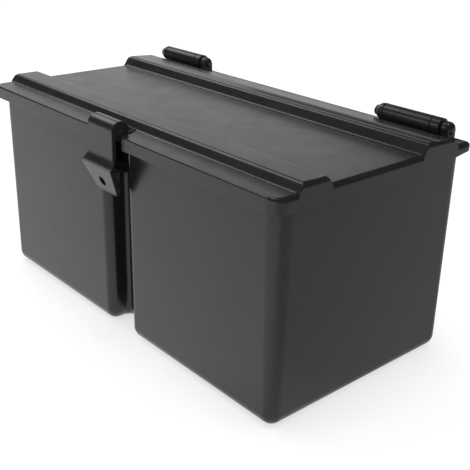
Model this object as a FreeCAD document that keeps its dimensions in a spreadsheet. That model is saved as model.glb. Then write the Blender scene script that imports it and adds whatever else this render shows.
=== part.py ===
import FreeCAD, Part
import math
import os
import Sketcher
from FreeCAD import Vector

# Tractor tool box, millimetres. Origin at the middle of the tub's resting face,
# X along its length, Y from front to back, Z up. The lid is closed at rest.

SIZES = [
    # tub
    ("tub_length", 360.1, "over the end walls at the rim"),
    ("tub_depth", 188.5, "over the front and rear walls at the rim"),
    ("rim_height", 169.2, "resting face to the rim"),
    ("end_draft", 0.5, "how far each end wall leans in at the foot"),
    ("side_draft", 1, "how far the front and rear walls lean in at the foot"),
    ("wall", 3, "tub wall and bottom"),
    ("rim_corner", 13.2, "radius of the upright corners at the rim"),
    ("foot_corner", 9, "radius of the upright corners at the foot"),
    ("foot_edge", 10, "radius between the walls and the bottom"),
    ("rear_rim_drop", 4.8, "how far the rear wall stops below the rim"),
    ("rear_rim_run", 12, "how far the lowered rim reaches in front of the hinge axis"),
    # groove in the front wall
    ("groove_width", 26, "between its side walls"),
    ("groove_depth", 18.2, "from the front wall at the rim to its back"),
    ("groove_mouth", 8, "radius of its two outer edges"),
    ("groove_inner", 4, "radius of its two inner edges"),
    # padlock catch in the groove
    ("catch_width", 18, "along the box"),
    ("catch_wall", 3.2, "plate and shelf"),
    ("catch_gap", 1.6, "behind the hasp's tongue at its foot"),
    ("catch_rise", 9, "above the centre of the padlock hole"),
    ("catch_fall", 7.5, "below the centre of the padlock hole"),
    # lid
    ("lid_overhang", 7.5, "skirt outside the tub's rim, at the front and the rear"),
    ("lid_end_reach", 4.2, "skirt outside the tub's rim, at the two ends"),
    ("lid_corner", 10.8, "radius of the lid's corners in plan"),
    ("lid_plate", 3, "thickness of the top"),
    ("lid_skirt", 3, "thickness of the skirt"),
    ("lid_height", 10.8, "from the skirt's lower edge to the top"),
    ("lid_seat", 0.1, "between the rim and the underside of the top"),
    ("lid_end_round", 4, "radius along the upper edges of the two ends"),
    ("lid_front_round", 1.5, "radius along the upper front and rear edges"),
    ("rib_height", 6.3, "of both ribs above the top"),
    ("rib_wall", 3.4, "of the hollow ribs, measured along Y"),
    ("rib_edge", 4, "radius of their long upper edges"),
    ("rib_foot", 3, "radius in the corner along the foot of a rib"),
    ("front_rib_margin", 18.75, "front of the lid to the front rib"),
    ("front_rib_front", 4.5, "run of its front slope"),
    ("front_rib_flat", 21.25, "its flat top"),
    ("front_rib_rear", 4.5, "run of its rear slope"),
    ("rear_rib_margin", 21.8, "rear of the skirt to the rear rib"),
    ("rear_rib_rear", 7, "run of its rear slope"),
    ("rear_rib_flat", 27.9, "its flat top"),
    ("rear_rib_front", 5.6, "run of its front slope"),
    ("rear_rib_crown", 2, "its front edge above its rear edge"),
    ("rear_cut_reach", 1.45, "past the tub's end, where the rear skirt starts"),
    ("rear_cut_depth", 6, "how far the rear edge stands inside the skirt's face"),
    ("rear_cut_bevel", 1.5, "under the rear edge"),
    ("corner_rise", 4, "how far the skirt's foot rises towards the rear corners"),
    ("corner_rise_run", 30, "length of that rise"),
    # notch over the groove
    ("notch_width", 37, "at the skirt"),
    ("notch_throat", 27, "at its back"),
    ("notch_flare", 7.5, "length of its flared part"),
    ("notch_corner", 2.5, "bevel on the skirt's upright edges beside it"),
    # rear hinges
    ("hinge_rise", 8.3, "from the top of the lid to the hinge axis"),
    ("hinge_inset", 14.7, "from the rear of the skirt to the hinge axis"),
    ("left_hinge_end", 36.6, "from the tub's left end to the middle of the left hinge"),
    ("right_hinge_end", 42.1, "from the tub's right end to the middle of the right hinge"),
    ("hinge_radius", 6.8, "of the barrels and knuckles"),
    ("left_knuckle", 8.4, "length of the tub's knuckle at the left"),
    ("lid_barrel", 44.7, "length of the lid's barrel"),
    ("right_knuckle", 8, "length of the tub's knuckle at the right"),
    ("end_lug", 8.3, "length of the lid's closed lug"),
    ("lug_radius", 5.3, "of the closed lug"),
    ("knuckle_round", 6.4, "radius at the outer end of the tub's left knuckle"),
    ("lug_round", 4.6, "radius at the outer end of the closed lug"),
    ("knuckle_gap", 0.35, "between neighbouring knuckles"),
    ("lug_gap", 1.2, "between the right knuckle and the closed lug"),
    ("notch_gap", 0.6, "around a knuckle, in the rear edge of the lid"),
    ("neck_front", 1.2, "from the hinge axis back to the knuckle's neck"),
    ("neck_back", 6, "from the hinge axis to the back of the knuckle's neck"),
    ("neck_drop", 12, "how far the neck runs down the rear wall"),
    ("pedestal_width", 9, "under the lid's barrel and closed lug"),
    ("hinge_pin_radius", 2.5, "steel pin"),
    ("hinge_pin_blind", 5, "how far the pin enters the closed lug"),
    ("pin_head_radius", 4.2, "domed head of a hinge pin"),
    ("pin_head_height", 2.2, "domed head of a hinge pin"),
    ("pin_running", 0.06, "radial clearance where a pin turns in a bore"),
    # hasp
    ("hasp_rise", 2.6, "from the top of the lid to the hasp's axis"),
    ("hasp_inset", 2.55, "from the front of the skirt to the hasp's axis"),
    ("hasp_radius", 7.5, "of its barrel"),
    ("hasp_width", 32.6, "of the barrel and the strap"),
    ("hasp_thick", 3.4, "of the strap and the tongue"),
    ("strap_drop", 18.9, "from the axis to the foot of the flat strap"),
    ("flare_drop", 27.9, "from the axis to the ridge of the flare"),
    ("flare_reach", 5, "of the ridge, in front of the strap"),
    ("flare_width", 40, "of the ridge"),
    ("flare_gain", 0.7, "the strap's back bends this much later than its face"),
    ("tongue_drop", 51.3, "from the axis to the tongue's lower edge"),
    ("tongue_back", 4.9, "how far its lower edge stands behind the strap's face"),
    ("tongue_width", 25.8, "of its lower edge"),
    ("hole_drop", 41.4, "from the axis to the padlock hole"),
    ("hole_radius", 3.6, "padlock hole"),
    ("hasp_corner", 1.6, "radius of the tongue's lower corners"),
    ("hasp_reach", 12, "behind the strap's face, deeper than any of the hasp's blade"),
    ("ear_width", 4.2, "of the two ears on the lid"),
    ("ear_spacing", 17, "between the middles of the ears"),
    ("ear_gap", 0.6, "beside each ear, in its slot"),
    ("ear_radius", 5, "of the ears round the pin"),
    ("arm_bend", 6.5, "from the hasp's axis back to where an ear's upper edge levels out"),
    ("arm_root", 4, "how far an ear runs under the front rib"),
    ("arm_depth", 4.5, "of an ear below the underside of the top"),
    ("slot_lip_run", 5.4, "from the hasp's axis back to the upper end of a slot"),
    ("slot_lip_rise", 7.2, "from the hasp's axis up to the upper end of a slot"),
    ("hasp_pin_radius", 2, "steel pin"),
    ("hasp_pin_inset", 0.3, "of the pin's ends inside the barrel"),
]

doc = FreeCAD.newDocument("tractor_tool_box")
sheet = doc.addObject("Spreadsheet::Sheet", "Sizes")
for row, (alias, amount, note) in enumerate(SIZES, start=1):
    sheet.set(f"A{row}", alias)
    sheet.set(f"B{row}", str(amount))
    sheet.set(f"C{row}", note)
    sheet.setAlias(f"B{row}", alias)
doc.recompute()
ALIASES = {alias for alias, _, _ in SIZES}


def size(alias):
    return float(getattr(sheet, alias))


def worked_out(formula):
    """The value of a formula written in the sheet's aliases."""
    names = {alias: size(alias) for alias, _, _ in SIZES}
    for alias in sorted(names, key=len, reverse=True):
        formula = formula.replace(f"Sizes.{alias}", repr(names[alias]))
    probe = doc.getObject("Probe") or doc.addObject("App::FeaturePython", "Probe")
    if not hasattr(probe, "Result"):
        probe.addProperty("App::PropertyFloat", "Result")
    probe.setExpression("Result", formula)
    probe.recompute()
    return probe.Result


def terms(text):
    """Puts the sheet's name in front of each alias in a formula."""
    words = []
    for word in text.replace("(", " ( ").replace(")", " ) ").split():
        words.append(f"Sizes.{word}" if word in ALIASES else word)
    return " ".join(words)


# Tools that cut run past what they cut by this much
OVERRUN = "2"
# how near two positions are that count as the same
TOUCH = 0.01

# Places that several pieces share, as formulas of the sheet's values
LID_LENGTH = "( tub_length + 2 * lid_end_reach )"
LID_DEPTH = "( tub_depth + 2 * lid_overhang )"
LID_BACK = f"( {LID_DEPTH} / 2 )"
LID_FRONT = f"( 0 - {LID_BACK} )"
PLATE_UNDER = "( rim_height + lid_seat )"
LID_TOP = f"( {PLATE_UNDER} + lid_plate )"
SKIRT_FOOT = f"( {LID_TOP} - lid_height )"
RIB_TOP = f"( {LID_TOP} + rib_height )"
REAR_EDGE = f"( {LID_BACK} - rear_cut_depth )"
CORNER_START = f"( {LID_BACK} - lid_corner )"
GROOVE_BACK = "( groove_depth - tub_depth / 2 )"
REAR_RIM = "( rim_height - rear_rim_drop )"
HINGE_Y = f"( {LID_BACK} - hinge_inset )"
HINGE_Z = f"( {LID_TOP} + hinge_rise )"
HASP_Y = f"( {LID_FRONT} + hasp_inset )"
HASP_Z = f"( {LID_TOP} + hasp_rise )"
STRAP_FACE = f"( {HASP_Y} - hasp_radius )"
BORE_RADIUS = "( hinge_pin_radius + pin_running )"
HASP_BORE = "( hasp_pin_radius + pin_running )"
FRONT_RIB = f"( {LID_FRONT} + front_rib_margin )"
REAR_RIB = f"( {LID_BACK} - rear_rib_margin )"
PLATE_RUN = "lid_plate / rib_height"
HINGE_LENGTH = ("( left_knuckle + lid_barrel + right_knuckle + end_lug"
                " + 2 * knuckle_gap + lug_gap )")


def bind(item, prop, formula):
    item.setExpression(prop, terms(formula))


def value(formula):
    return worked_out(terms(formula))


def origin_plane(body, role):
    return [item for item in body.Origin.OriginFeatures if item.Role == role][0]


def new_sketch(body, name, role, offset=None):
    """A sketch on one of the body's origin planes, moved along the plane's normal."""
    sketch = body.newObject("Sketcher::SketchObject", name)
    sketch.AttachmentSupport = [(origin_plane(body, role), "")]
    sketch.MapMode = "FlatFace"
    if offset:
        bind(sketch, "AttachmentOffset.Base.z", offset)
    return sketch


def pin_point(sketch, index, end, x, y):
    """Ties one point of a sketch to two formulas."""
    for kind, formula in (("DistanceX", x), ("DistanceY", y)):
        number = sketch.addConstraint(Sketcher.Constraint(kind, -1, 1, index, end, value(formula)))
        bind(sketch, f"Constraints[{number}]", formula)


def polygon(body, name, role, corners, offset=None):
    """A closed outline of straight lines through corners given as formulas."""
    sketch = new_sketch(body, name, role, offset)
    places = [Vector(value(x), value(y), 0) for x, y in corners]
    count = len(corners)
    for index in range(count):
        sketch.addGeometry(Part.LineSegment(places[index], places[(index + 1) % count]), False)
    for index in range(count):
        sketch.addConstraint(Sketcher.Constraint("Coincident", index, 2, (index + 1) % count, 1))
    for index, (x, y) in enumerate(corners):
        pin_point(sketch, index, 1, x, y)
    return sketch


def circle(body, name, role, x, y, radius, offset=None):
    sketch = new_sketch(body, name, role, offset)
    centre = Vector(value(x), value(y), 0)
    sketch.addGeometry(Part.Circle(centre, Vector(0, 0, 1), value(radius)), False)
    pin_point(sketch, 0, 3, x, y)
    number = sketch.addConstraint(Sketcher.Constraint("Radius", 0, value(radius)))
    bind(sketch, f"Constraints[{number}]", radius)
    return sketch


def rounded_rectangle(body, name, length, depth, radius, height=None):
    """A rectangle centred on the origin in plan, with equal corner radii."""
    sketch = new_sketch(body, name, "XY_Plane", height)
    r = value(radius)
    half_x = value(length) / 2 - r
    half_y = value(depth) / 2 - r
    quadrants = [(half_x, half_y), (-half_x, half_y), (-half_x, -half_y), (half_x, -half_y)]
    arcs = []
    for index, (x, y) in enumerate(quadrants):
        round_corner = Part.Circle(Vector(x, y, 0), Vector(0, 0, 1), r)
        start = index * math.pi / 2
        arcs.append(sketch.addGeometry(Part.ArcOfCircle(round_corner, start, start + math.pi / 2), False))
    sides = []
    for index in range(4):
        here = sketch.getPoint(arcs[index], 2)
        there = sketch.getPoint(arcs[(index + 1) % 4], 1)
        sides.append(sketch.addGeometry(Part.LineSegment(here, there), False))
    for index in range(4):
        sketch.addConstraint(Sketcher.Constraint("Tangent", arcs[index], 2, sides[index], 1))
        sketch.addConstraint(Sketcher.Constraint("Tangent", sides[index], 2, arcs[(index + 1) % 4], 1))
        direction = "Horizontal" if index % 2 == 0 else "Vertical"
        sketch.addConstraint(Sketcher.Constraint(direction, sides[index]))
        if index:
            sketch.addConstraint(Sketcher.Constraint("Equal", arcs[0], arcs[index]))
    sketch.addConstraint(Sketcher.Constraint("Symmetric", arcs[0], 3, arcs[2], 3, -1, 1))
    number = sketch.addConstraint(Sketcher.Constraint("Radius", arcs[0], r))
    bind(sketch, f"Constraints[{number}]", radius)
    number = sketch.addConstraint(Sketcher.Constraint("DistanceX", arcs[1], 3, arcs[0], 3, 2 * half_x))
    bind(sketch, f"Constraints[{number}]", f"{length} - 2 * {radius}")
    number = sketch.addConstraint(Sketcher.Constraint("DistanceY", arcs[2], 3, arcs[1], 3, 2 * half_y))
    bind(sketch, f"Constraints[{number}]", f"{depth} - 2 * {radius}")
    return sketch


def new_body(name):
    return doc.addObject("PartDesign::Body", name)


def checked(feature):
    doc.recompute()
    if "Invalid" in feature.State or "Error" in feature.State or feature.Shape.isNull():
        raise RuntimeError(f"{feature.Name} failed: {feature.State}")
    return feature


def pad(body, name, sketch, length, both_ways=False):
    feature = body.newObject("PartDesign::Pad", name)
    feature.Profile = sketch
    bind(feature, "Length", length)
    feature.Midplane = both_ways
    return checked(feature)


def pocket(body, name, sketch, length=None, both_ways=False, turned=False):
    """A pocket that has to take something away."""
    before = body.Shape.Volume
    feature = body.newObject("PartDesign::Pocket", name)
    feature.Profile = sketch
    if length:
        bind(feature, "Length", length)
    else:
        feature.Type = "ThroughAll"
    feature.Midplane = both_ways
    feature.Reversed = turned
    checked(feature)
    if feature.Shape.Volume >= before - 1:
        raise RuntimeError(f"{name} cuts nothing")
    return feature


def edges_where(shape, test):
    return [f"Edge{index}" for index, edge in enumerate(shape.Edges, start=1) if test(edge.BoundBox)]


def fillet(body, name, base, edges, radius):
    feature = body.newObject("PartDesign::Fillet", name)
    feature.Base = (base, edges)
    bind(feature, "Radius", radius)
    return checked(feature)


def upright(box):
    return box.ZLength > 5 and box.XLength < 3 and box.YLength < 3


def boolean(kind, name, base, tool):
    feature = doc.addObject(f"Part::{kind}", name)
    feature.Base = base
    feature.Tool = tool
    return checked(feature)


def joined(kind, name, pieces):
    feature = doc.addObject(f"Part::{kind}", name)
    feature.Shapes = pieces
    return checked(feature)


def box(name, x, y, z, length, width, height):
    """A block from its lowest corner and its three sizes, all formulas."""
    block = doc.addObject("Part::Box", name)
    for prop, formula in (("Length", length), ("Width", width), ("Height", height)):
        bind(block, prop, formula)
    for axis, formula in zip("xyz", (x, y, z)):
        bind(block, f"Placement.Base.{axis}", formula)
    return checked(block)


ALONG_X = FreeCAD.Rotation(Vector(0, 1, 0), 90)


def rod(name, x, y, z, radius, length):
    """A cylinder along X from its left end."""
    cylinder = doc.addObject("Part::Cylinder", name)
    cylinder.Placement = FreeCAD.Placement(Vector(), ALONG_X)
    bind(cylinder, "Radius", radius)
    bind(cylinder, "Height", length)
    for axis, formula in zip("xyz", (x, y, z)):
        bind(cylinder, f"Placement.Base.{axis}", formula)
    return checked(cylinder)


# Where each section of a hinge starts, for the hinge whose middle is at its side
SIDES = {"left": "( left_hinge_end - tub_length / 2 )",
         "right": "( tub_length / 2 - right_hinge_end )"}


def hinge_starts(side):
    left_knuckle = f"( {SIDES[side]} - {HINGE_LENGTH} / 2 )"
    barrel = f"( {left_knuckle} + left_knuckle + knuckle_gap )"
    right_knuckle = f"( {barrel} + lid_barrel + knuckle_gap )"
    closed_lug = f"( {right_knuckle} + right_knuckle + lug_gap )"
    return left_knuckle, barrel, right_knuckle, closed_lug


# Tub: walls and bottom
tub = new_body("tub_body")
foot = rounded_rectangle(tub, "TubFoot", "( tub_length - 2 * end_draft )",
                         "( tub_depth - 2 * side_draft )", "foot_corner")
rim = rounded_rectangle(tub, "TubRim", "tub_length", "tub_depth", "rim_corner", "rim_height")
outside = tub.newObject("PartDesign::AdditiveLoft", "TubOutside")
outside.Profile = foot
outside.Sections = [rim]
outside.Ruled = True
checked(outside)

# Tub: groove in the front wall, with its edges and the foot's edge rounded
groove = polygon(tub, "GrooveOutline", "XY_Plane", [
    ("0 - groove_width / 2", "0 - tub_depth"), ("groove_width / 2", "0 - tub_depth"),
    ("groove_width / 2", GROOVE_BACK), ("0 - groove_width / 2", GROOVE_BACK)])
groove_cut = pocket(tub, "Groove", groove, turned=True)
half_groove = value("groove_width / 2")
groove_back = value(GROOVE_BACK)


def groove_mouth_edge(edge_box):
    beside = abs(abs(edge_box.Center.x) - half_groove) < 1
    return upright(edge_box) and beside and edge_box.Center.y < groove_back - 5


def groove_inner_edge(edge_box):
    beside = abs(abs(edge_box.Center.x) - half_groove) < 1
    return upright(edge_box) and beside and abs(edge_box.Center.y - groove_back) < 1


mouth = fillet(tub, "GrooveMouth", groove_cut,
               edges_where(groove_cut.Shape, groove_mouth_edge), "groove_mouth")
inner = fillet(tub, "GrooveInner", mouth,
               edges_where(mouth.Shape, groove_inner_edge), "groove_inner")
foot_round = fillet(tub, "FootEdge", inner,
                    edges_where(inner.Shape, lambda edge_box: edge_box.ZMax < TOUCH), "foot_edge")
hollow = tub.newObject("PartDesign::Thickness", "TubHollow")
hollow.Base = (foot_round, [f"Face{index}" for index, face in enumerate(foot_round.Shape.Faces, start=1)
                            if face.BoundBox.ZMin > size("rim_height") - TOUCH])
bind(hollow, "Value", "wall")
hollow.Reversed = True
hollow.Join = "Arc"
checked(hollow)

# Tub: the rear wall stops lower, so that the lid's rear edge can swing over it
rear_rim = polygon(tub, "RearRimOutline", "YZ_Plane", [
    (f"{HINGE_Y} - rear_rim_run", REAR_RIM), (LID_BACK, REAR_RIM),
    (LID_BACK, "( rim_height + wall )"), (f"{HINGE_Y} - rear_rim_run", "( rim_height + wall )")])
pocket(tub, "RearRim", rear_rim, "( tub_length + 2 * wall )", both_ways=True)


def rounded_rod(name, start, radius, length, outer_end, rounding):
    """A cylinder along X with one end rounded over; outer_end is -1 for its left end."""
    plain = rod(f"{name}_plain", start, HINGE_Y, HINGE_Z, radius, length)
    end_x = plain.Shape.BoundBox.XMin if outer_end < 0 else plain.Shape.BoundBox.XMax
    rounded = doc.addObject("Part::Fillet", name)
    rounded.Base = plain
    rounded.Edges = [
        (number, size(rounding), size(rounding))
        for number, edge in enumerate(plain.Shape.Edges, start=1)
        if edge.BoundBox.XLength < TOUCH and abs(edge.BoundBox.XMin - end_x) < TOUCH]
    return checked(rounded)


def neck(name, start, length):
    """The web that carries a knuckle, from inside it down into the rear wall."""
    body = new_body(name)
    outline = polygon(body, f"{name}_outline", "YZ_Plane", [
        (f"( {HINGE_Y} + neck_back )", f"( {REAR_RIM} - neck_drop )"),
        (f"( {HINGE_Y} + neck_back )", HINGE_Z), (f"( {HINGE_Y} + neck_front )", HINGE_Z),
        (f"( {HINGE_Y} + neck_front )", f"( {REAR_RIM} - neck_drop / 3 )")], start)
    pad(body, f"{name}_web", outline, length)
    return body


# Tub: two knuckles for each hinge; the left one of each pair has a rounded outer end
tub_additions = [tub]
tub_bores = []
for side in SIDES:
    first, _, third, _ = hinge_starts(side)
    tub_additions.append(rounded_rod(f"{side}_outer_knuckle", first, "hinge_radius", "left_knuckle", -1,
                                     "knuckle_round"))
    tub_additions.append(neck(f"{side}_outer_neck", first, "left_knuckle"))
    tub_additions.append(rod(f"{side}_inner_knuckle", third, HINGE_Y, HINGE_Z, "hinge_radius",
                             "right_knuckle"))
    tub_additions.append(neck(f"{side}_inner_neck", third, "right_knuckle"))
    tub_bores.append(rod(f"{side}_tub_bore", f"{first} - {OVERRUN}", HINGE_Y, HINGE_Z, "hinge_pin_radius",
                         f"( {HINGE_LENGTH} + 2 * {OVERRUN} )"))

# Tub: the padlock catch, a shelf and a plate with a hole, in the groove behind the tongue
HOLE_Z = f"( {HASP_Z} - hole_drop )"
CATCH_FACE = f"( {STRAP_FACE} + tongue_back + hasp_thick + catch_gap )"
catch = polygon(tub, "CatchOutline", "YZ_Plane", [
    (CATCH_FACE, f"( {HOLE_Z} - catch_fall )"),
    (CATCH_FACE, f"( {HOLE_Z} + catch_rise )"),
    (f"( {GROOVE_BACK} + wall / 2 )", f"( {HOLE_Z} + catch_rise )"),
    (f"( {GROOVE_BACK} + wall / 2 )", f"( {HOLE_Z} + catch_rise - catch_wall )"),
    (f"( {CATCH_FACE} + catch_wall )", f"( {HOLE_Z} + catch_rise - catch_wall )"),
    (f"( {CATCH_FACE} + catch_wall )", f"( {HOLE_Z} - catch_fall )")])
pad(tub, "Catch", catch, "catch_width", both_ways=True)
catch_hole = circle(tub, "CatchHoleOutline", "XZ_Plane", "0", HOLE_Z, "hole_radius",
                    f"0 - ( {CATCH_FACE} + catch_wall + {OVERRUN} )")
pocket(tub, "CatchHole", catch_hole, f"( catch_wall + 2 * {OVERRUN} )", turned=True)
tub_full = joined("MultiFuse", "tub_full", tub_additions)
tub_bore_rods = joined("MultiFuse", "tub_bores", tub_bores)
tub_piece = boolean("Cut", "tub_piece", tub_full, tub_bore_rods)

# Lid: top and skirt, then the rounding that grows from the front edge to the ends
slab = new_body("lid_slab")
slab_outline = rounded_rectangle(slab, "SlabOutline", LID_LENGTH, LID_DEPTH,
                                 "lid_corner", SKIRT_FOOT)
pad(slab, "Slab", slab_outline, "lid_height")
lid_top = value(LID_TOP)


def slab_rounding(shape):
    rounds = []
    small, large = size("lid_front_round"), size("lid_end_round")
    for number, edge in enumerate(shape.Edges, start=1):
        edge_box = edge.BoundBox
        if edge_box.ZMin < lid_top - TOUCH:
            continue
        if edge_box.YLength < TOUCH:
            rounds.append((number, small, small))
        elif edge_box.XLength < TOUCH:
            rounds.append((number, large, large))
        else:
            start = edge.valueAt(edge.FirstParameter)
            middle = value(LID_BACK) - TOUCH
            starts_at_side = abs(start.y) > middle
            rounds.append((number, small, large) if starts_at_side else (number, large, small))
    return rounds


slab_round = doc.addObject("Part::Fillet", "lid_slab_rounded")
slab_round.Base = slab
slab_round.Edges = slab_rounding(slab.Shape)
checked(slab_round)

# Lid: the two ribs run the whole length, and their ends follow the lid's ends


def rib_ends(name, top):
    """A block as long as the lid, with its two upper end edges rounded at the height of a rib."""
    body = new_body(name)
    profile = polygon(body, f"{name}_outline", "XZ_Plane", [
        (f"0 - {LID_LENGTH} / 2", SKIRT_FOOT), (f"{LID_LENGTH} / 2", SKIRT_FOOT),
        (f"{LID_LENGTH} / 2", top), (f"0 - {LID_LENGTH} / 2", top)])
    block = pad(body, f"{name}_block", profile, LID_DEPTH, both_ways=True)
    block_top = value(top) - TOUCH
    fillet(body, f"{name}_round", block,
           edges_where(block.Shape, lambda b: b.XLength < TOUCH and b.ZMin > block_top), "lid_end_round")
    return body


plan = new_body("lid_plan")
plan_outline = rounded_rectangle(plan, "PlanOutline", LID_LENGTH, LID_DEPTH,
                                 "lid_corner", SKIRT_FOOT)
pad(plan, "Plan", plan_outline, "( lid_height + rib_height + rear_rib_crown )")
rib_top = value(RIB_TOP)


def rib(name, base, outer, flat, inner, crown, turn):
    """A rib's cross-section from the foot of its outer side; turn is 1 towards the rear."""
    body = new_body(name)
    edge = "+" if turn > 0 else "-"
    profile = polygon(body, f"{name}_outline", "YZ_Plane", [
        (base, SKIRT_FOOT), (base, LID_TOP),
        (f"{base} {edge} {outer}", RIB_TOP),
        (f"{base} {edge} ( {outer} + {flat} )", f"( {RIB_TOP} + {crown} )"),
        (f"{base} {edge} ( {outer} + {flat} + {inner} )", LID_TOP),
        (f"{base} {edge} ( {outer} + {flat} + {inner} )", SKIRT_FOOT)])
    block = pad(body, f"{name}_block", profile, LID_LENGTH, both_ways=True)
    fillet(body, f"{name}_edges", block,
           edges_where(block.Shape, lambda b: b.XLength > 1 and b.ZMin > rib_top - TOUCH), "rib_edge")
    ends = rib_ends(f"{name}_ends", f"( {RIB_TOP} + {crown} )")
    return joined("MultiCommon", f"{name}_shaped", [body, ends, plan])


def rib_hollow(name, base, outer, flat, inner, crown, turn):
    """The space inside a rib, which keeps the rib's wall, open downwards."""
    body = new_body(name)
    edge, back = ("+", "-") if turn > 0 else ("-", "+")
    top = f"( {RIB_TOP} - lid_plate )"
    low_outer = f"{base} {edge} ( rib_wall - {outer} * {PLATE_RUN} )"
    high_outer = f"{base} {edge} ( rib_wall + {outer} - {outer} * {PLATE_RUN} )"
    far = f"( {outer} + {flat} + {inner} )"
    low_inner = f"{base} {edge} ( {far} - rib_wall + {inner} * {PLATE_RUN} )"
    high_inner = f"{base} {edge} ( {far} - rib_wall - {inner} + {inner} * {PLATE_RUN} )"
    profile = polygon(body, f"{name}_outline", "YZ_Plane", [
        (low_outer, f"( {PLATE_UNDER} - {OVERRUN} )"), (low_outer, PLATE_UNDER), (high_outer, top),
        (high_inner, f"( {top} + {crown} )"), (low_inner, PLATE_UNDER),
        (low_inner, f"( {PLATE_UNDER} - {OVERRUN} )")])
    pad(body, f"{name}_space", profile, f"( {LID_LENGTH} - 4 * lid_skirt )", both_ways=True)
    return body


FRONT_RIB_SIZES = (FRONT_RIB, "front_rib_front", "front_rib_flat", "front_rib_rear", "0", 1)
REAR_RIB_SIZES = (REAR_RIB, "rear_rib_rear", "rear_rib_flat", "rear_rib_front", "rear_rib_crown", -1)
front_rib = rib("front_rib", *FRONT_RIB_SIZES)
rear_rib = rib("rear_rib", *REAR_RIB_SIZES)
front_hollow = rib_hollow("front_rib_hollow", *FRONT_RIB_SIZES)
rear_hollow = rib_hollow("rear_rib_hollow", *REAR_RIB_SIZES)

# Lid: the hollow under it, all round inside the skirt
underside = new_body("lid_underside")
underside_outline = rounded_rectangle(underside, "UndersideOutline", f"( {LID_LENGTH} - 2 * lid_skirt )",
                                      f"( {LID_DEPTH} - 2 * lid_skirt )",
                                      "( lid_corner - lid_skirt )", f"( {SKIRT_FOOT} - {OVERRUN} )")
pad(underside, "Underside", underside_outline, f"( lid_height - lid_plate + {OVERRUN} )")

# Lid: the notch over the groove, flared towards the front
notch = new_body("lid_notch")
notch_side = "notch_width / 2"
throat_side = "notch_throat / 2"
skirt_side = "( notch_width / 2 + notch_corner )"
notch_outline = polygon(notch, "NotchOutline", "XY_Plane", [
    (f"0 - {throat_side}", FRONT_RIB), (throat_side, FRONT_RIB),
    (notch_side, f"( {FRONT_RIB} - notch_flare )"), (notch_side, f"( {LID_FRONT} + notch_corner )"),
    (skirt_side, LID_FRONT), (skirt_side, f"{LID_FRONT} - {OVERRUN}"),
    (f"0 - {skirt_side}", f"{LID_FRONT} - {OVERRUN}"), (f"0 - {skirt_side}", LID_FRONT),
    (f"0 - {notch_side}", f"( {LID_FRONT} + notch_corner )"),
    (f"0 - {notch_side}", f"( {FRONT_RIB} - notch_flare )")],
    f"( {SKIRT_FOOT} - {OVERRUN} )")
pad(notch, "Notch", notch_outline, f"( lid_height + rib_height + 2 * {OVERRUN} )")

# Lid: the rear skirt is left out between the tub's ends, so that the lid can swing past the rear
# wall, and the edge there is bevelled below
rear_cut = new_body("lid_rear_cut")
rear_cut_outline = polygon(rear_cut, "RearCutOutline", "YZ_Plane", [
    (CORNER_START, f"( {SKIRT_FOOT} - {OVERRUN} )"), (CORNER_START, PLATE_UNDER),
    (f"( {REAR_EDGE} - rear_cut_bevel )", PLATE_UNDER),
    (REAR_EDGE, f"( {PLATE_UNDER} + rear_cut_bevel )"), (REAR_EDGE, f"( {LID_TOP} + {OVERRUN} )"),
    (f"( {LID_BACK} + {OVERRUN} )", f"( {LID_TOP} + {OVERRUN} )"),
    (f"( {LID_BACK} + {OVERRUN} )", f"( {SKIRT_FOOT} - {OVERRUN} )")])
pad(rear_cut, "RearCut", rear_cut_outline, "( tub_length + 2 * rear_cut_reach )", both_ways=True)

# Lid: the skirt's foot rises towards the rear corners
corner_cut = new_body("lid_corner_cut")
corner_cut_outline = polygon(corner_cut, "CornerCutOutline", "YZ_Plane", [
    (f"( {CORNER_START} - corner_rise_run )", SKIRT_FOOT),
    (CORNER_START, f"( {SKIRT_FOOT} + corner_rise )"),
    (f"( {LID_BACK} + {OVERRUN} )", f"( {SKIRT_FOOT} + corner_rise )"),
    (f"( {LID_BACK} + {OVERRUN} )", f"( {SKIRT_FOOT} - {OVERRUN} )"),
    (f"( {CORNER_START} - corner_rise_run )", f"( {SKIRT_FOOT} - {OVERRUN} )")])
pad(corner_cut, "CornerCut", corner_cut_outline, f"( {LID_LENGTH} + 2 * {OVERRUN} )", both_ways=True)

# Lid: notches in the rear edge for the tub's knuckles
knuckle_notches = []
for side in SIDES:
    first, _, third, _ = hinge_starts(side)
    for label, start, length in (("outer", first, "left_knuckle"), ("inner", third, "right_knuckle")):
        knuckle_notches.append(box(
            f"{side}_{label}_notch", f"{start} - notch_gap", HINGE_Y, f"( {SKIRT_FOOT} - {OVERRUN} )",
            f"( {length} + 2 * notch_gap )", f"( {LID_BACK} + {OVERRUN} - {HINGE_Y} )",
            f"( lid_height + 2 * {OVERRUN} )"))

lid_solid = joined("MultiFuse", "lid_solid", [slab_round, front_rib, rear_rib])
length_inside = value(LID_LENGTH) / 2
rear_limit = value(REAR_EDGE)
foot_edges = []
for number, edge in enumerate(lid_solid.Shape.Edges, start=1):
    edge_box = edge.BoundBox
    level = abs(edge_box.ZMin - lid_top) < TOUCH and abs(edge_box.ZMax - lid_top) < TOUCH
    if level and edge_box.XLength > length_inside and abs(edge_box.YMax) < rear_limit - 1:
        foot_edges.append((number, size("rib_foot"), size("rib_foot")))
lid_footed = doc.addObject("Part::Fillet", "lid_footed")
lid_footed.Base = lid_solid
lid_footed.Edges = foot_edges
checked(lid_footed)
lid_spaces = joined("MultiFuse", "lid_spaces",
                    [underside, front_hollow, rear_hollow, notch, rear_cut, corner_cut])
lid_opened = boolean("Cut", "lid_opened", lid_footed, lid_spaces)
all_notches = joined("MultiFuse", "knuckle_notches", knuckle_notches)
lid_shell = boolean("Cut", "lid_shell", lid_opened, all_notches)

# Lid: the hinge barrels and closed lugs, each on its pedestal
lid_additions = [lid_shell]
lid_bores = []


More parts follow.
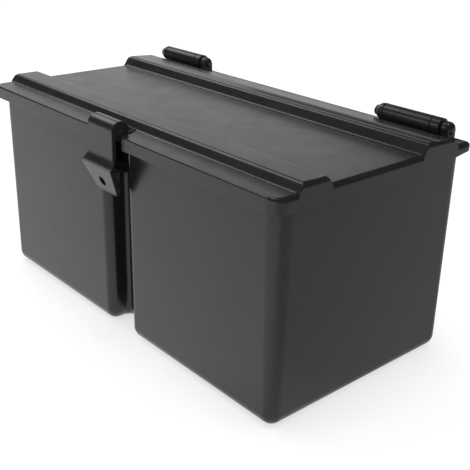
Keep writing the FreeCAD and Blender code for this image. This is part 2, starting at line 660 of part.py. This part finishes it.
def pedestal(name, start, length, width):
    return box(name, start, f"{HINGE_Y} - {width} / 2", f"( {LID_TOP} - lid_plate / 2 )",
               length, width, "( hinge_rise + lid_plate / 2 )")


for side in SIDES:
    first, second, _, fourth = hinge_starts(side)
    lid_additions.append(rod(f"{side}_lid_barrel", second, HINGE_Y, HINGE_Z, "hinge_radius", "lid_barrel"))
    lid_additions.append(pedestal(f"{side}_barrel_pedestal", second, "lid_barrel", "pedestal_width"))
    lid_additions.append(rounded_rod(f"{side}_closed_lug", fourth, "lug_radius", "end_lug", 1,
                                     "lug_round"))
    lid_additions.append(pedestal(f"{side}_lug_pedestal", fourth, "( end_lug - lug_round / 3 )",
                                  "( 1.8 * lug_radius )"))
    lid_bores.append(rod(f"{side}_lid_bore", f"{second} - {OVERRUN}", HINGE_Y, HINGE_Z, BORE_RADIUS,
                         f"( {fourth} - {second} + {OVERRUN} + hinge_pin_blind + pin_running )"))

# Lid: two ears that reach out from under the notch's edge to the hasp's pin
EAR_X = {"left": "0 - ear_spacing / 2", "right": "ear_spacing / 2"}
for side, middle in EAR_X.items():
    start = f"( {middle} - ear_width / 2 )"
    ear_ring = rod(f"{side}_ear_ring", start, HASP_Y, HASP_Z, "ear_radius", "ear_width")
    arm = new_body(f"{side}_ear_arm")
    arm_outline = polygon(arm, f"{side}_ear_outline", "YZ_Plane", [
        (HASP_Y, f"( {HASP_Z} - 0.8 * ear_radius )"),
        (f"( {HASP_Y} + arm_bend )", f"( {LID_TOP} - lid_plate / 2 )"),
        (f"( {FRONT_RIB} + arm_root )", f"( {LID_TOP} - lid_plate / 2 )"),
        (f"( {FRONT_RIB} + arm_root )", f"( {PLATE_UNDER} - arm_depth )"),
        (f"( {FRONT_RIB} - arm_depth )", f"( {PLATE_UNDER} - arm_depth )"),
        (HASP_Y, f"( {HASP_Z} - ear_radius )")], start)
    pad(arm, f"{side}_ear_web", arm_outline, "ear_width")
    lid_additions.append(joined("MultiFuse", f"{side}_ear", [ear_ring, arm]))
    lid_bores.append(rod(f"{side}_ear_bore", f"{start} - {OVERRUN}", HASP_Y, HASP_Z, "hasp_pin_radius",
                         f"( ear_width + 2 * {OVERRUN} )"))
lid_full = joined("MultiFuse", "lid_full", lid_additions)
all_bores = joined("MultiFuse", "lid_bores", lid_bores)
lid = boolean("Cut", "lid_piece", lid_full, all_bores)

# Hasp: the strap, the flare and the tongue, from a side view and a front view
hasp_side = new_body("hasp_side")
side_outline = polygon(hasp_side, "HaspSideOutline", "YZ_Plane", [
    (STRAP_FACE, HASP_Z),
    (STRAP_FACE, f"( {HASP_Z} - strap_drop )"),
    (f"( {STRAP_FACE} - flare_reach )", f"( {HASP_Z} - flare_drop )"),
    (f"( {STRAP_FACE} + tongue_back )", f"( {HASP_Z} - tongue_drop )"),
    (f"( {STRAP_FACE} + tongue_back + hasp_thick )", f"( {HASP_Z} - tongue_drop )"),
    (f"( {STRAP_FACE} - flare_reach + hasp_thick + flare_gain )", f"( {HASP_Z} - flare_drop )"),
    (f"( {STRAP_FACE} + hasp_thick )", f"( {HASP_Z} - strap_drop - flare_gain )"),
    (f"( {STRAP_FACE} + hasp_thick )", HASP_Z)])
pad(hasp_side, "HaspSide", side_outline, f"( flare_width + {OVERRUN} )", both_ways=True)
hasp_front = new_body("hasp_front")
front_outline = polygon(hasp_front, "HaspFrontOutline", "XZ_Plane", [
    ("0 - hasp_width / 2", f"{HASP_Z} + {OVERRUN}"), ("0 - hasp_width / 2", f"( {HASP_Z} - strap_drop )"),
    ("0 - flare_width / 2", f"( {HASP_Z} - flare_drop )"),
    ("0 - tongue_width / 2", f"( {HASP_Z} - tongue_drop )"),
    ("tongue_width / 2", f"( {HASP_Z} - tongue_drop )"),
    ("flare_width / 2", f"( {HASP_Z} - flare_drop )"),
    ("hasp_width / 2", f"( {HASP_Z} - strap_drop )"), ("hasp_width / 2", f"{HASP_Z} + {OVERRUN}")],
    f"0 - ( {STRAP_FACE} + hasp_reach )")
front_block = pad(hasp_front, "HaspFront", front_outline, "2 * hasp_reach")
tongue_foot = value(f"{HASP_Z} - tongue_drop")
fillet(hasp_front, "TongueCorners", front_block,
       edges_where(front_block.Shape, lambda b: b.YLength > 5 and b.ZMax < tongue_foot + TOUCH),
       "hasp_corner")
hasp_blade = joined("MultiCommon", "hasp_blade", [hasp_side, hasp_front])
hasp_barrel = rod("hasp_barrel", "0 - hasp_width / 2", HASP_Y, HASP_Z, "hasp_radius", "hasp_width")
hasp_solid = joined("MultiFuse", "hasp_solid", [hasp_blade, hasp_barrel])
padlock_hole = doc.addObject("Part::Cylinder", "padlock_hole")
padlock_hole.Placement = FreeCAD.Placement(Vector(), FreeCAD.Rotation(Vector(1, 0, 0), 90))
bind(padlock_hole, "Radius", "hole_radius")
bind(padlock_hole, "Height", "2 * hasp_reach")
bind(padlock_hole, "Placement.Base.y", f"{STRAP_FACE} + hasp_reach")
bind(padlock_hole, "Placement.Base.z", HOLE_Z)
checked(padlock_hole)
hasp_bore = rod("hasp_bore", "0 - hasp_width", HASP_Y, HASP_Z, HASP_BORE, "2 * hasp_width")

# Hasp: the strap sweeps out to the ridge in a hollow curve
COVE_DROP = "( flare_drop - strap_drop )"
COVE_RADIUS = f"( ( flare_reach * flare_reach + {COVE_DROP} * {COVE_DROP} ) / ( 2 * flare_reach ) )"
cove = rod("flare_cove", "0 - flare_width", f"{STRAP_FACE} - {COVE_RADIUS}", f"{HASP_Z} - strap_drop",
           COVE_RADIUS, "2 * flare_width")
hasp_spaces = [padlock_hole, hasp_bore, cove]

# Hasp: slots for the ears, open below and behind, and up to where the swing ends
for side, middle in EAR_X.items():
    start = f"( {middle} - ear_width / 2 - ear_gap )"
    width = "( ear_width + 2 * ear_gap )"
    hasp_spaces.append(rod(f"{side}_slot_ring", start, HASP_Y, HASP_Z, "( ear_radius + ear_gap )", width))
    slot = new_body(f"{side}_slot")
    slot_outline = polygon(slot, f"{side}_slot_outline", "YZ_Plane", [
        (f"( {STRAP_FACE} + hasp_thick )", HASP_Z), (HASP_Y, HASP_Z),
        (f"( {HASP_Y} + slot_lip_run )", f"( {HASP_Z} + slot_lip_rise )"),
        (f"( {HASP_Y} + 2 * hasp_radius )", f"( {HASP_Z} + slot_lip_rise )"),
        (f"( {HASP_Y} + 2 * hasp_radius )", f"( {HASP_Z} - 2 * hasp_radius )"),
        (f"( {STRAP_FACE} + hasp_thick )", f"( {HASP_Z} - 2 * hasp_radius )")], start)
    pad(slot, f"{side}_slot_space", slot_outline, width)
    hasp_spaces.append(slot)
all_hasp_spaces = joined("MultiFuse", "hasp_spaces", hasp_spaces)
hasp = boolean("Cut", "hasp_piece", hasp_solid, all_hasp_spaces)

# Pins: a plain one in the hasp, and one with a domed head in each hinge
hasp_pin = rod("hasp_pin_rod", "hasp_pin_inset - hasp_width / 2", HASP_Y, HASP_Z, "hasp_pin_radius",
               "( hasp_width - 2 * hasp_pin_inset )")
hinge_pins = {}
for side in SIDES:
    first, _, _, fourth = hinge_starts(side)
    shank = rod(f"{side}_pin_shank", first, HINGE_Y, HINGE_Z, "hinge_pin_radius",
                f"( {fourth} + hinge_pin_blind - {first} )")
    dome = doc.addObject("Part::Ellipsoid", f"{side}_pin_dome")
    dome.Placement = FreeCAD.Placement(Vector(), ALONG_X)
    bind(dome, "Radius1", "pin_head_height")
    bind(dome, "Radius2", "pin_head_radius")
    bind(dome, "Radius3", "pin_head_radius")
    for axis, formula in zip("xyz", (first, HINGE_Y, HINGE_Z)):
        bind(dome, f"Placement.Base.{axis}", formula)
    checked(dome)
    half = box(f"{side}_pin_dome_half", f"{first} - 2 * pin_head_height",
               f"( {HINGE_Y} - 2 * pin_head_radius )", f"( {HINGE_Z} - 2 * pin_head_radius )",
               "2 * pin_head_height", "4 * pin_head_radius", "4 * pin_head_radius")
    head = boolean("Common", f"{side}_pin_head", dome, half)
    hinge_pins[side] = joined("MultiFuse", f"{side}_pin_piece", [shank, head])

PIECES = {
    "tub": tub_piece,
    "lid": lid,
    "hasp": hasp,
    "hasp_pin": hasp_pin,
    "left_hinge_pin": hinge_pins["left"],
    "right_hinge_pin": hinge_pins["right"],
}
for node, piece in PIECES.items():
    piece.Label = node

doc.recompute()
for item in doc.Objects:
    if "Invalid" in item.State or "Error" in item.State:
        raise RuntimeError(f"{item.Name} is {item.State}")
for node, piece in PIECES.items():
    shape = piece.Shape
    if shape.isNull() or not shape.isValid() or len(shape.Solids) != 1:
        raise RuntimeError(f"{node} is not one valid solid: {len(shape.Solids)}")

os.makedirs("parts", exist_ok=True)
for node, piece in PIECES.items():
    piece.Shape.exportStep(f"parts/{node}.step")
    print(node, round(piece.Shape.Volume), piece.Shape.BoundBox)
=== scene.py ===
import bmesh
import bpy
import math
from mathutils import Matrix, Vector
from mathutils.bvhtree import BVHTree


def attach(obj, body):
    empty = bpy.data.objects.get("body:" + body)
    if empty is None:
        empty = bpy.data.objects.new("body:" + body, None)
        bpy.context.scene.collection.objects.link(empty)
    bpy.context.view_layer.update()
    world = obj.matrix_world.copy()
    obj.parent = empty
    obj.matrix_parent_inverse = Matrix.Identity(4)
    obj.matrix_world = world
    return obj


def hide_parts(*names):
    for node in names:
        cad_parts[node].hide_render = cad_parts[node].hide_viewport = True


# Tractor tool box, in metres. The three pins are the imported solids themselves. The three mouldings
# are copies of theirs, whose edges get the small radii that a moulded part has.

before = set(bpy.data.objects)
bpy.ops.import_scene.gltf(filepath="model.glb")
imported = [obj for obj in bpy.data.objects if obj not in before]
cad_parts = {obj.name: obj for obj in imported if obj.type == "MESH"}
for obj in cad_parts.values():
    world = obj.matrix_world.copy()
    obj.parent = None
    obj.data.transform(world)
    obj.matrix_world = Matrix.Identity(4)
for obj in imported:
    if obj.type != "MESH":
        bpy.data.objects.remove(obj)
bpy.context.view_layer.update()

MM = 0.001

# Cleaning the copy of a solid: corners that coincide, slivers, and flat faces in several parts
SAME_CORNER = 0.002 * MM
SLIVER = 0.001 * MM
FLAT_WITHIN = math.radians(0.4)

# Easing of the mouldings' edges: how far it reaches over the faces, and in how many facets
TUB_EASING = 0.5 * MM
LID_EASING = 0.6 * MM
HASP_EASING = 0.5 * MM
EASING_FACETS = 3
# The smallest turn between two faces that counts as a sharp edge
SHARP = math.radians(32)
# The share that an easing may take of an edge that leaves its corner
ROOM_SHARE = 0.4
# A sharp edge that leaves a corner at more than this angle carries the easing on, and limits nothing
CARRIES_ON = math.radians(140)
# A corner further off the solid than this share of the easing was thrown off it
STRAY_SHARE = 0.4
# The weight of large faces in the shading of their corners, where 50 is neutral
LARGE_FACES_WEIGHT = 100

# Plastic: its colour, then its colour in a flow mark, and the real sizes of its patterns
TUB_HEXES = ("1E1F22", "222326")
LID_HEXES = ("1E1F22", "232427")
HASP_HEXES = ("1F2023", "242528")
PLASTIC_IOR = 1.49
PLASTIC_ROUGHNESS = 0.27
RUBBING_SWING = 0.03
FLOW_MARK = 60 * MM
FLOW_MARK_DEPTH = 0.06 * MM
RUBBED_PATCH = 25 * MM
SPARK_GRAIN = 0.55 * MM
SPARK_GRAIN_DEPTH = 0.02 * MM

# Steel: its darkest and lightest tone, its shine, and the rings that drawing leaves
STEEL_HEXES = ("8C8D8F", "B4B5B6")
STEEL_SHINE = {"To Min": 0.25, "To Max": 0.45}
STEEL_RING = 0.4 * MM
STEEL_RING_LENGTH = 50 * MM
STEEL_RING_DEPTH = 0.01 * MM

# Nearly all of a noise lies between these
NOISE_LOW = 0.3
NOISE_HIGH = 0.7

# Camera, at the photograph's viewing angle
PHOTO_WIDTH = 470
FOCAL_PIXELS = 821.74
SENSOR_WIDTH = 36.0
CAMERA_PLACE = Vector((504.9, -419.2, 346.3)) * MM
PITCH_DOWN = math.radians(23.50)
YAW_LEFT = math.radians(48.36)
ROLL = math.radians(-1.483)

# Floor: to the camera a paint and a glow that come to white together, and in gloss a white that
# falls off towards the rear right
FLOOR_HALF = 6.0
FLOOR_DROP = 0.2 * MM
FLOOR_SEEN_HEX = "B0B0B0"
FLOOR_GLOW = 0.64
FLOOR_BOUNCE_HEX = "C8C8C8"
REAR_RIGHT = (0.707, 0.707, 0)
FLOOR_FALL = {"From Min": -0.02, "From Max": 0.14, "To Min": 1.05, "To Max": 0.55}

# World: white to the camera, an even grey as light, and in gloss a white sweep that stands to the
# left and fades upward and to the sides
WHITE = (1, 1, 1, 1)
SEEN_STRENGTH = 1.0
AMBIENT = 0.85
SWEEP_FACING = (-0.92, 0.39, 0.0)
SWEEP_WIDTH = {"From Min": 0.74, "From Max": 0.88, "To Min": 0.05, "To Max": 1.15}
SWEEP_HEIGHT = [(0.0, WHITE), (0.3, (0.9, 0.9, 0.9, 1)), (0.55, (0.3, 0.3, 0.3, 1)),
                (1.0, (0.05, 0.05, 0.05, 1))]

# Soft boxes: place, what they point at, side, and power in watts
SOFTBOXES = {
    "left_softbox": ((-1.45, -0.10, 1.60), (0, 0, 0.15), 1.0, 8),
    "front_softbox": ((-0.95, -1.70, 0.85), (0, 0, 0.15), 0.7, 2.8),
    "overhead_softbox": ((0.0, -0.15, 2.2), (0, 0, 0.1), 0.5, 8),
}


def srgb(code):
    """Linear colour from sRGB hex, with alpha 1."""
    channels = [int(code[index:index + 2], 16) / 255 for index in (0, 2, 4)]
    linear = [c / 12.92 if c <= 0.04045 else ((c + 0.055) / 1.055) ** 2.4 for c in channels]
    return (*linear, 1.0)


def add_node(tree, kind, settings=None, inputs=None, links=None, stops=()):
    """One node: its properties, its input values, the sockets that feed it and a ramp's colours."""
    node = tree.nodes.new(kind)
    for name, value in (settings or {}).items():
        setattr(node, name, value)
    for name, value in (inputs or {}).items():
        node.inputs[name].default_value = value
    for name, source in (links or {}).items():
        tree.links.new(source, node.inputs[name])
    for index, (place, colour) in enumerate(stops):
        elements = node.color_ramp.elements
        element = elements[index] if index < len(elements) else elements.new(place)
        element.position = place
        element.color = colour
    return node


def emptied_tree(owner):
    """The nodes of a material or world, with nothing in them yet."""
    owner.use_nodes = True
    owner.node_tree.nodes.clear()
    return owner.node_tree


def new_finish(name):
    """A material with a bare principled shader."""
    material = bpy.data.materials.new(name)
    tree = emptied_tree(material)
    shader = add_node(tree, "ShaderNodeBsdfPrincipled")
    add_node(tree, "ShaderNodeOutputMaterial", links={"Surface": shader.outputs["BSDF"]})
    return material, tree, shader


def two_tones(hexes):
    """The stops of a ramp that takes a noise from one colour to the other."""
    return list(zip((NOISE_LOW, NOISE_HIGH), map(srgb, hexes)))


def moulded_plastic(name, hexes):
    """Injection moulded plastic from a spark-eroded tool: charcoal right through, a fine even grain
    that softens what it mirrors, faint flow marks, and patches that handling has rubbed."""
    material, tree, shader = new_finish(name)
    place = add_node(tree, "ShaderNodeTexCoord").outputs["Object"]
    flow = add_node(tree, "ShaderNodeTexNoise", inputs={"Scale": 1 / FLOW_MARK, "Detail": 3.0},
                    links={"Vector": place})
    # the grain is really finer, and is drawn as coarse as it needs to show
    grain = add_node(tree, "ShaderNodeTexNoise", inputs={"Scale": 1 / SPARK_GRAIN, "Detail": 4.0},
                     links={"Vector": place})
    rub = add_node(tree, "ShaderNodeTexNoise", inputs={"Scale": 1 / RUBBED_PATCH, "Detail": 5.0},
                   links={"Vector": place})
    tone = add_node(tree, "ShaderNodeValToRGB", links={"Fac": flow.outputs["Fac"]},
                    stops=two_tones(hexes))
    tree.links.new(tone.outputs["Color"], shader.inputs["Base Color"])
    shine = add_node(tree, "ShaderNodeMapRange", links={"Value": rub.outputs["Fac"]},
                     inputs={"From Min": NOISE_LOW, "From Max": NOISE_HIGH,
                             "To Min": PLASTIC_ROUGHNESS - RUBBING_SWING,
                             "To Max": PLASTIC_ROUGHNESS + RUBBING_SWING})
    tree.links.new(shine.outputs["Result"], shader.inputs["Roughness"])
    pitted = add_node(tree, "ShaderNodeBump",
                      inputs={"Strength": 0.12, "Distance": SPARK_GRAIN_DEPTH},
                      links={"Height": grain.outputs["Fac"]})
    waved = add_node(tree, "ShaderNodeBump",
                     inputs={"Strength": 0.15, "Distance": FLOW_MARK_DEPTH},
                     links={"Height": flow.outputs["Fac"], "Normal": pitted.outputs["Normal"]})
    tree.links.new(waved.outputs["Normal"], shader.inputs["Normal"])
    shader.inputs["IOR"].default_value = PLASTIC_IOR
    return material


def drawn_steel(name):
    """Bright drawn steel rod: fine rings round it, light grey, with a soft streaked shine."""
    material, tree, shader = new_finish(name)
    place = add_node(tree, "ShaderNodeTexCoord").outputs["Object"]
    squeezed = add_node(tree, "ShaderNodeMapping", links={"Vector": place},
                        inputs={"Scale": (1 / STEEL_RING, 1 / STEEL_RING_LENGTH,
                                          1 / STEEL_RING_LENGTH)})
    rings = add_node(tree, "ShaderNodeTexNoise", inputs={"Scale": 1.0, "Detail": 3.0},
                     links={"Vector": squeezed.outputs["Vector"]})
    tone = add_node(tree, "ShaderNodeValToRGB", links={"Fac": rings.outputs["Fac"]},
                    stops=two_tones(STEEL_HEXES))
    tree.links.new(tone.outputs["Color"], shader.inputs["Base Color"])
    shine = add_node(tree, "ShaderNodeMapRange", inputs=STEEL_SHINE,
                     links={"Value": rings.outputs["Fac"]})
    tree.links.new(shine.outputs["Result"], shader.inputs["Roughness"])
    ringed = add_node(tree, "ShaderNodeBump",
                      inputs={"Strength": 0.2, "Distance": STEEL_RING_DEPTH},
                      links={"Height": rings.outputs["Fac"]})
    tree.links.new(ringed.outputs["Normal"], shader.inputs["Normal"])
    shader.inputs["Metallic"].default_value = 1.0
    return material


def dress(mesh, material):
    """Gives the whole mesh one material."""
    mesh.materials.clear()
    mesh.materials.append(material)
    for face in mesh.polygons:
        face.material_index = 0


def angle_between(edge, other, corner):
    """The angle in which two edges meet at a corner."""
    away = edge.other_vert(corner).co - corner.co
    onward = other.other_vert(corner).co - corner.co
    return away.angle(onward, 0.0)


def mark_sharp_edges(cage, easing):
    """Gives each sharp edge the share of the easing that it has room for on the faces beside it."""
    weights = cage.edges.layers.float.new("bevel_weight_edge")
    sharp = {edge for edge in cage.edges
             if len(edge.link_faces) == 2 and edge.calc_face_angle(0.0) > SHARP}
    for edge in sharp:
        room = easing
        for corner in edge.verts:
            for other in corner.link_edges:
                if other is edge:
                    continue
                opening = angle_between(edge, other, corner)
                if other in sharp and opening > CARRIES_ON:
                    continue
                room = min(room, ROOM_SHARE * other.calc_length() * math.sin(opening))
        edge[weights] = room / easing


def put_strays_back(mesh, surface, easing):
    """Where the easing ran out of room and threw a corner off the moulding, it goes back on it."""
    for corner in mesh.vertices:
        spot, _, _, distance = surface.find_nearest(corner.co)
        if distance > STRAY_SHARE * easing:
            corner.co = spot


def eased_moulding(node, body, material, easing, name):
    """A moulding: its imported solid, cleaned and with its sharp edges eased, standing for it."""
    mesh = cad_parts[node].data.copy()
    piece = bpy.data.objects.new(name, mesh)
    bpy.context.scene.collection.objects.link(piece)
    cage = bmesh.new()
    cage.from_mesh(mesh)
    bmesh.ops.remove_doubles(cage, verts=cage.verts, dist=SAME_CORNER)
    bmesh.ops.dissolve_degenerate(cage, edges=cage.edges, dist=SLIVER)
    bmesh.ops.dissolve_limit(cage, angle_limit=FLAT_WITHIN, verts=cage.verts, edges=cage.edges)
    mark_sharp_edges(cage, easing)
    surface = BVHTree.FromBMesh(cage)
    cage.to_mesh(mesh)
    cage.free()
    dress(mesh, material)
    for face in mesh.polygons:
        face.use_smooth = True
    ease = piece.modifiers.new("ease", "BEVEL")
    ease.width = easing
    ease.segments = EASING_FACETS
    ease.limit_method = "WEIGHT"
    ease.use_clamp_overlap = False
    # the flat faces keep their own normals, so they don't shade like curved ones
    weigh = piece.modifiers.new("weigh", "WEIGHTED_NORMAL")
    weigh.mode = "FACE_AREA"
    weigh.weight = LARGE_FACES_WEIGHT
    bpy.context.view_layer.update()
    eased = piece.evaluated_get(bpy.context.evaluated_depsgraph_get())
    finished = bpy.data.meshes.new_from_object(eased)
    put_strays_back(finished, surface, easing)
    piece.modifiers.clear()
    piece.data = finished
    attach(piece, body)
    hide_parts(node)


def parted_by_ray(tree, as_light, in_gloss, to_camera):
    """One shader as the light of the scene, one for what gloss mirrors, and one for the camera."""
    path = add_node(tree, "ShaderNodeLightPath")
    unseen = add_node(tree, "ShaderNodeMixShader",
                      links={0: path.outputs["Is Glossy Ray"], 1: as_light, 2: in_gloss})
    whole = add_node(tree, "ShaderNodeMixShader",
                     links={0: path.outputs["Is Camera Ray"], 1: unseen.outputs["Shader"],
                            2: to_camera})
    return whole.outputs["Shader"]


def floor_white():
    """The floor's material: white with the box's soft shadow to the camera, and in gloss brightest
    at the front left."""
    material = bpy.data.materials.new("floor_white")
    tree = emptied_tree(material)
    place = add_node(tree, "ShaderNodeTexCoord").outputs["Object"]
    along = add_node(tree, "ShaderNodeVectorMath", {"operation": "DOT_PRODUCT"},
                     inputs={1: REAR_RIGHT}, links={0: place})
    falling = add_node(tree, "ShaderNodeMapRange", inputs=FLOOR_FALL,
                       links={"Value": along.outputs["Value"]})
    bounce = add_node(tree, "ShaderNodeBsdfDiffuse", inputs={"Color": srgb(FLOOR_BOUNCE_HEX)})
    mirrored = add_node(tree, "ShaderNodeEmission", links={"Strength": falling.outputs["Result"]})
    shadowed = add_node(tree, "ShaderNodeBsdfDiffuse", inputs={"Color": srgb(FLOOR_SEEN_HEX)})
    glow = add_node(tree, "ShaderNodeEmission", inputs={"Strength": FLOOR_GLOW})
    seen = add_node(tree, "ShaderNodeAddShader",
                    links={0: shadowed.outputs["BSDF"], 1: glow.outputs["Emission"]})
    whole = parted_by_ray(tree, bounce.outputs["BSDF"], mirrored.outputs["Emission"],
                          seen.outputs["Shader"])
    add_node(tree, "ShaderNodeOutputMaterial", links={"Surface": whole})
    return material


def make_floor():
    """A wide flat floor, a hair under the box so that the two don't share a face."""
    mesh = bpy.data.meshes.new("floor")
    corners = [(-FLOOR_HALF, -FLOOR_HALF, 0), (FLOOR_HALF, -FLOOR_HALF, 0),
               (FLOOR_HALF, FLOOR_HALF, 0), (-FLOOR_HALF, FLOOR_HALF, 0)]
    mesh.from_pydata(corners, [], [(0, 1, 2, 3)])
    floor = bpy.data.objects.new("floor", mesh)
    floor.location.z = -FLOOR_DROP
    mesh.materials.append(floor_white())
    bpy.context.scene.collection.objects.link(floor)


def make_world():
    """The white surround, whose sweep gives the box's faces most of their shading."""
    world = bpy.data.worlds.new("studio")
    bpy.context.scene.world = world
    tree = emptied_tree(world)
    direction = add_node(tree, "ShaderNodeTexCoord").outputs["Generated"]
    split = add_node(tree, "ShaderNodeSeparateXYZ", links={"Vector": direction})
    height = add_node(tree, "ShaderNodeValToRGB", links={"Fac": split.outputs["Z"]},
                      stops=SWEEP_HEIGHT)
    facing = add_node(tree, "ShaderNodeVectorMath", {"operation": "DOT_PRODUCT"},
                      inputs={1: SWEEP_FACING}, links={0: direction})
    width = add_node(tree, "ShaderNodeMapRange", {"interpolation_type": "SMOOTHSTEP"},
                     inputs=SWEEP_WIDTH, links={"Value": facing.outputs["Value"]})
    sweep = add_node(tree, "ShaderNodeMath", {"operation": "MULTIPLY"},
                     links={0: height.outputs["Color"], 1: width.outputs["Result"]})
    mirrored = add_node(tree, "ShaderNodeBackground", links={"Strength": sweep.outputs["Value"]})
    even = add_node(tree, "ShaderNodeBackground", inputs={"Color": WHITE, "Strength": AMBIENT})
    seen = add_node(tree, "ShaderNodeBackground",
                    inputs={"Color": WHITE, "Strength": SEEN_STRENGTH})
    whole = parted_by_ray(tree, even.outputs["Background"], mirrored.outputs["Background"],
                          seen.outputs["Background"])
    add_node(tree, "ShaderNodeOutputWorld", links={"Surface": whole})


def make_softbox(name, place, target, side, power):
    """A square soft box that points at the target."""
    lamp = bpy.data.lights.new(name, "AREA")
    lamp.shape = "SQUARE"
    lamp.size = side
    lamp.energy = power
    holder = bpy.data.objects.new(name, lamp)
    holder.location = place
    holder.rotation_mode = "QUATERNION"
    holder.rotation_quaternion = (Vector(target) - Vector(place)).to_track_quat("-Z", "Y")
    bpy.context.scene.collection.objects.link(holder)


def make_camera():
    """The photograph's view, from a pinhole with its axis at the image's centre."""
    forward = Vector((-math.sin(YAW_LEFT) * math.cos(PITCH_DOWN),
                      math.cos(YAW_LEFT) * math.cos(PITCH_DOWN), -math.sin(PITCH_DOWN)))
    level = Vector((math.cos(YAW_LEFT), math.sin(YAW_LEFT), 0))
    down = forward.cross(level)
    right = level * math.cos(ROLL) + down * math.sin(ROLL)
    down = down * math.cos(ROLL) - level * math.sin(ROLL)
    data = bpy.data.cameras.new("photo_camera")
    data.sensor_fit = "HORIZONTAL"
    data.sensor_width = SENSOR_WIDTH
    data.lens = FOCAL_PIXELS / PHOTO_WIDTH * SENSOR_WIDTH
    camera = bpy.data.objects.new("photo_camera", data)
    turn = Matrix((right, -down, -forward)).transposed().to_4x4()
    camera.matrix_world = Matrix.Translation(CAMERA_PLACE) @ turn
    bpy.context.scene.collection.objects.link(camera)
    bpy.context.scene.camera = camera


tub_plastic = moulded_plastic("tub_moulded_polypropylene", TUB_HEXES)
lid_plastic = moulded_plastic("lid_moulded_polypropylene", LID_HEXES)
hasp_plastic = moulded_plastic("hasp_moulded_nylon", HASP_HEXES)
pin_steel = drawn_steel("hinge_pin_drawn_steel")

eased_moulding("tub", "box", tub_plastic, TUB_EASING, "tub_moulding")
eased_moulding("lid", "lid", lid_plastic, LID_EASING, "lid_moulding")
eased_moulding("hasp", "hasp", hasp_plastic, HASP_EASING, "hasp_moulding")
for pin in ("hasp_pin", "left_hinge_pin", "right_hinge_pin"):
    dress(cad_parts[pin].data, pin_steel)

make_floor()
make_world()
for softbox, (place, target, side, power) in SOFTBOXES.items():
    make_softbox(softbox, place, target, side, power)
make_camera()
bpy.context.scene.view_settings.view_transform = "Standard"
